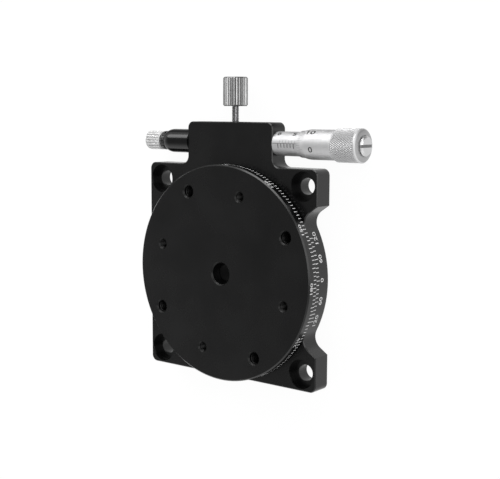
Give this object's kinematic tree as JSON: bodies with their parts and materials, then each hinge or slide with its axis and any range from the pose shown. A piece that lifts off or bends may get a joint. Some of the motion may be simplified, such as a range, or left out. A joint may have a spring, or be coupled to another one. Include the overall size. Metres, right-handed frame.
{
  "type": "manual rotation stage",
  "caption": "Low manual rotation stage: a round table on a square base, with a micrometer and spring plunger for fine rotation and a side clamp screw.",
  "frame": {"origin": "centre of the four base mounting holes, on the base's bottom face", "axes": "+Z along the rotation axis, out of the table; +X along the micrometer towards its thimble; +Y from the rotation axis towards the clamp knob"},
  "size_m": [0.0748, 0.0837, 0.011],
  "materials": {
    "black_anodised": "black anodised, satin, light on broken edges",
    "black_housing": "black anodised, semi-gloss",
    "satin_chrome": "satin chrome with black graduations",
    "polished_steel": "polished steel",
    "nickel": "turned and straight-knurled, satin nickel",
    "bearing_steel": "ground steel",
    "spring_steel": "drawn spring wire",
    "screw_steel": "turned stainless steel",
    "black_oxide": "black oxide steel",
    "brass": "machined brass"
  },
  "bodies": {
    "base": {"base_plate": "black_anodised", "bearing_post": "black_anodised", "post_screws": "black_oxide", "bearing_inner_ring": "bearing_steel", "bearing_balls": "polished_steel", "bearing_cage": "brass", "rear_cover": "black_anodised", "cover_screws": "black_oxide", "micrometer_sleeve": "satin_chrome", "stem_set_screws": "black_oxide", "plunger_housing": "black_housing", "housing_plug": "black_housing", "lock_ring": "black_oxide"},
    "arm": {"fine_arm": "black_anodised", "contact_pads": "bearing_steel"},
    "table": {"rotary_table": "black_anodised", "bearing_outer_ring": "bearing_steel"},
    "clamp_pad": {"clamp_pad": "brass"},
    "clamp_knob": {"clamp_screw": "screw_steel", "clamp_knob": "nickel"},
    "spindle_tip": {"spindle_tip": "polished_steel"},
    "thimble": {"micrometer_spindle": "polished_steel", "thimble": "satin_chrome", "thimble_cap": "polished_steel"},
    "plunger_pin": {"plunger_pin": "polished_steel"},
    "spring_seat": {"spring_seat": "bearing_steel", "plunger_spring": "spring_steel"},
    "preload_knob": {"preload_screw": "screw_steel", "preload_knob": "nickel"}
  },
  "joints": [
    {"name": "fine_rotation", "type": "hinge", "parent": "base", "child": "arm", "pos_m": [0, 0, 0], "axis": [0, 0, 1], "range_deg": [-5, 5]},
    {"name": "coarse_rotation", "type": "hinge", "parent": "arm", "child": "table", "pos_m": [0, 0, 0], "axis": [0, 0, 1], "continuous": true},
    {"name": "clamp_feed", "type": "slide", "parent": "arm", "child": "clamp_pad", "axis": [0, 1, 0], "range_m": [0, 0.0005]},
    {"name": "clamp_turn", "type": "hinge", "parent": "clamp_pad", "child": "clamp_knob", "pos_m": [0, 0.0458, 0.0029], "axis": [0, 1, 0], "range_deg": [0, 451]},
    {"name": "spindle_feed", "type": "slide", "parent": "base", "child": "spindle_tip", "axis": [1, 0, 0], "range_m": [-0.00312, 0.00312]},
    {"name": "thimble_turn", "type": "hinge", "parent": "spindle_tip", "child": "thimble", "pos_m": [0.03, 0.0359, 0.0029], "axis": [1, 0, 0], "range_deg": [-2250, 2250]},
    {"name": "plunger_travel", "type": "slide", "parent": "base", "child": "plunger_pin", "axis": [1, 0, 0], "range_m": [-0.00313, 0.00313], "deforming": ["plunger_spring"]},
    {"name": "preload_feed", "type": "slide", "parent": "base", "child": "spring_seat", "axis": [1, 0, 0], "range_m": [0, 0.0005]},
    {"name": "preload_turn", "type": "hinge", "parent": "spring_seat", "child": "preload_knob", "pos_m": [-0.028, 0.0359, 0.0029], "axis": [1, 0, 0], "range_deg": [0, 360.5]}
  ],
  "couplings": [
    {"joint": "thimble_turn", "follows": "spindle_feed", "rad_per_m": 12566},
    {"joint": "plunger_travel", "follows": "spindle_feed", "ratio": 1},
    {"joint": "fine_rotation", "follows": "spindle_feed", "rad_per_m": -27.855},
    {"joint": "clamp_turn", "follows": "clamp_feed", "rad_per_m": 15708},
    {"joint": "preload_turn", "follows": "preload_feed", "rad_per_m": 12566}
  ]
}
